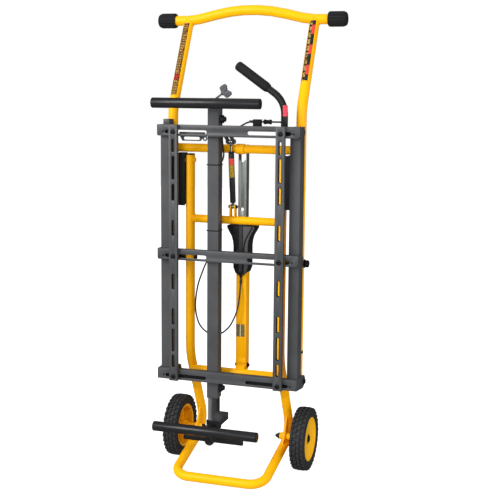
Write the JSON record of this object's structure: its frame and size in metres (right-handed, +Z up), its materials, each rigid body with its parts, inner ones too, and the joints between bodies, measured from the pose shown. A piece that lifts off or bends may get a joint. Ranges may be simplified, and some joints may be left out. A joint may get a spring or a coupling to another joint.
{
  "type": "folding rolling mitre saw stand",
  "caption": "Two-wheeled stand for a mitre saw, folded upright: bent tube frames that cross like scissors, a slotted table, extension arms with work supports, and a release lever.",
  "frame": {"origin": "on the floor under the middle of the folded stand", "axes": "+X to the stand's right as seen from the table side, +Y to the back (wheel side), +Z up"},
  "size_m": [0.618, 0.339, 1.4662],
  "materials": {
    "yellow_paint": "gloss powder coat",
    "black_plastic": "moulded, fine grain",
    "black_bolts": "black oxide",
    "tyre_rubber": "matt ribbed rubber",
    "hub_yellow": "moulded",
    "grip_rubber": "matt ribbed rubber",
    "black_paint": "satin powder coat",
    "cable_sheath": "smooth",
    "zinc": "zinc plated",
    "gas_black": "gloss",
    "grey_plastic": "moulded"
  },
  "bodies": {
    "wheel_frame": {"wheel_left_upright": "yellow_paint", "wheel_right_upright": "yellow_paint", "upper_cross_tube": "yellow_paint", "lower_cross_tube": "yellow_paint", "toe_loop": "yellow_paint", "strut_clevis": "yellow_paint", "slide_plugs": "black_plastic", "axle_bolts": "black_bolts", "strut_bolts": "black_bolts"},
    "left_wheel": {"left_tyre": "tyre_rubber", "left_hub": "hub_yellow"},
    "right_wheel": {"right_tyre": "tyre_rubber", "right_hub": "hub_yellow"},
    "left_guide_roller": {"left_roller": "black_plastic"},
    "right_guide_roller": {"right_roller": "black_plastic"},
    "handle_frame": {"handle_left_upright": "yellow_paint", "handle_right_upright": "yellow_paint", "handle_bar": "yellow_paint", "handle_cross_tube": "yellow_paint", "handle_grips": "grip_rubber", "pivot_bolts": "black_bolts"},
    "table": {"left_rail": "black_paint", "right_rail": "black_paint", "top_crossbar": "black_paint", "middle_crossbar": "black_paint", "bottom_crossbar": "black_paint", "end_brackets": "black_paint", "mast": "black_paint", "guide_channels": "black_paint", "strut_bracket": "black_paint", "corner_plates": "black_paint", "corner_bolts": "black_bolts", "hook_plate": "black_paint", "lever_bracket": "black_paint", "release_cable": "cable_sheath"},
    "left_bar": {"left_saw_bar": "black_paint", "left_bar_screws": "black_bolts"},
    "right_bar": {"right_saw_bar": "black_paint", "right_bar_screws": "black_bolts"},
    "lever": {"release_lever": "black_paint", "lever_grip": "grip_rubber"},
    "link": {"release_link": "zinc"},
    "lock_strut_tube": {"lock_tube": "yellow_paint", "lock_housing": "black_plastic"},
    "lock_strut_pin": {"lock_pin": "zinc"},
    "lock_strut_channel": {"lock_channel": "zinc"},
    "gas_strut_cylinder": {"gas_cylinder": "gas_black"},
    "gas_strut_rod": {"gas_rod": "zinc"},
    "top_arm": {"upper_arm": "black_paint"},
    "bottom_arm": {"lower_arm": "black_paint"},
    "top_support": {"upper_support": "black_paint", "upper_caps": "black_plastic"},
    "bottom_support": {"lower_support": "black_paint", "lower_caps": "black_plastic"},
    "wing": {"wing_knob": "grey_plastic"},
    "top_knob": {"upper_arm_knob": "black_plastic"},
    "bottom_knob": {"lower_arm_knob": "black_plastic"},
    "work_stop": {"stop_bar": "black_paint"}
  },
  "joints": [
    {"name": "fold", "type": "hinge", "parent": "wheel_frame", "child": "handle_frame", "pos_m": [0, 0, 0.68], "axis": [-1, 0, 0], "range_deg": [0, 68]},
    {"name": "table_pivot", "type": "hinge", "parent": "handle_frame", "child": "table", "pos_m": [0, 0, 0.31], "axis": [-1, 0, 0], "range_deg": [-31.34, 0]},
    {"name": "left_roller_spin", "type": "hinge", "parent": "wheel_frame", "child": "left_guide_roller", "pos_m": [0, 0, 0.994], "axis": [1, 0, 0], "continuous": true},
    {"name": "right_roller_spin", "type": "hinge", "parent": "wheel_frame", "child": "right_guide_roller", "pos_m": [0, 0, 0.994], "axis": [1, 0, 0], "continuous": true},
    {"name": "left_wheel_spin", "type": "hinge", "parent": "wheel_frame", "child": "left_wheel", "pos_m": [0, 0.068, 0.1015], "axis": [1, 0, 0], "continuous": true},
    {"name": "right_wheel_spin", "type": "hinge", "parent": "wheel_frame", "child": "right_wheel", "pos_m": [0, 0.068, 0.1015], "axis": [1, 0, 0], "continuous": true},
    {"name": "lock_strut_foot", "type": "hinge", "parent": "wheel_frame", "child": "lock_strut_tube", "pos_m": [0.016, 0.03, 0.336], "axis": [-1, 0, 0], "range_deg": [0, 34.5]},
    {"name": "lock_strut_head", "type": "hinge", "parent": "handle_frame", "child": "lock_strut_channel", "pos_m": [0.016, 0.03, 1.024], "axis": [-1, 0, 0], "range_deg": [-34.5, 0]},
    {"name": "gas_strut_foot", "type": "hinge", "parent": "wheel_frame", "child": "gas_strut_cylinder", "pos_m": [-0.008, 0, 0.845], "axis": [-1, 0, 0], "range_deg": [0, 22.94]},
    {"name": "gas_strut_stroke", "type": "slide", "parent": "gas_strut_cylinder", "child": "gas_strut_rod", "axis": [0, -0.1228, 0.9924], "range_m": [0, 0.1069]},
    {"name": "left_bar_slide", "type": "slide", "parent": "table", "child": "left_bar", "axis": [1, 0, 0], "range_m": [-0.02, 0.08]},
    {"name": "right_bar_slide", "type": "slide", "parent": "table", "child": "right_bar", "axis": [-1, 0, 0], "range_m": [-0.02, 0.08]},
    {"name": "lever_pull", "type": "hinge", "parent": "table", "child": "lever", "pos_m": [0.169, -0.05, 1.08], "axis": [0, 1, 0], "range_deg": [0, 14], "stiffness_Nm_per_rad": 4, "springref_deg": -14.32},
    {"name": "link_pull", "type": "slide", "parent": "table", "child": "link", "axis": [1, 0, 0], "range_m": [0, 0.008]},
    {"name": "lock_pin_pull", "type": "slide", "parent": "lock_strut_tube", "child": "lock_strut_pin", "axis": [0, -1, 0], "range_m": [0, 0.008]},
    {"name": "top_arm_slide", "type": "slide", "parent": "table", "child": "top_arm", "axis": [0, 0, 1], "range_m": [0, 0.3]},
    {"name": "bottom_arm_slide", "type": "slide", "parent": "table", "child": "bottom_arm", "axis": [0, 0, -1], "range_m": [0, 0.036]},
    {"name": "top_support_height", "type": "slide", "parent": "top_arm", "child": "top_support", "axis": [0, 1, 0], "range_m": [-0.03, 0.04]},
    {"name": "bottom_support_height", "type": "slide", "parent": "bottom_arm", "child": "bottom_support", "axis": [0, 1, 0], "range_m": [-0.03, 0.04]},
    {"name": "wing_turn", "type": "hinge", "parent": "top_arm", "child": "wing", "pos_m": [-0.056, -0.045, 1.172], "axis": [0.809, 0, 0.5878], "continuous": true},
    {"name": "top_knob_turn", "type": "hinge", "parent": "table", "child": "top_knob", "pos_m": [-0.034, -0.045, 1.115], "axis": [1, 0, 0], "continuous": true},
    {"name": "bottom_knob_turn", "type": "hinge", "parent": "table", "child": "bottom_knob", "pos_m": [-0.034, -0.045, 0.276], "axis": [1, 0, 0], "continuous": true},
    {"name": "work_stop_flip", "type": "hinge", "parent": "bottom_arm", "child": "work_stop", "pos_m": [-0.052, -0.045, 0.124], "axis": [-1, 0, 0], "range_deg": [0, 50]}
  ],
  "couplings": [
    {"joint": "table_pivot", "follows": "fold", "ratio": -0.45352},
    {"joint": "lock_strut_foot", "follows": "fold", "ratio": 0.5},
    {"joint": "lock_strut_head", "follows": "fold", "ratio": -0.5},
    {"joint": "gas_strut_foot", "follows": "fold", "ratio": 0.32994},
    {"joint": "gas_strut_stroke", "follows": "fold", "m_per_rad": 0.089654},
    {"joint": "link_pull", "follows": "lever_pull", "m_per_rad": 0.029702},
    {"joint": "lock_pin_pull", "follows": "lever_pull", "m_per_rad": 0.023762}
  ]
}
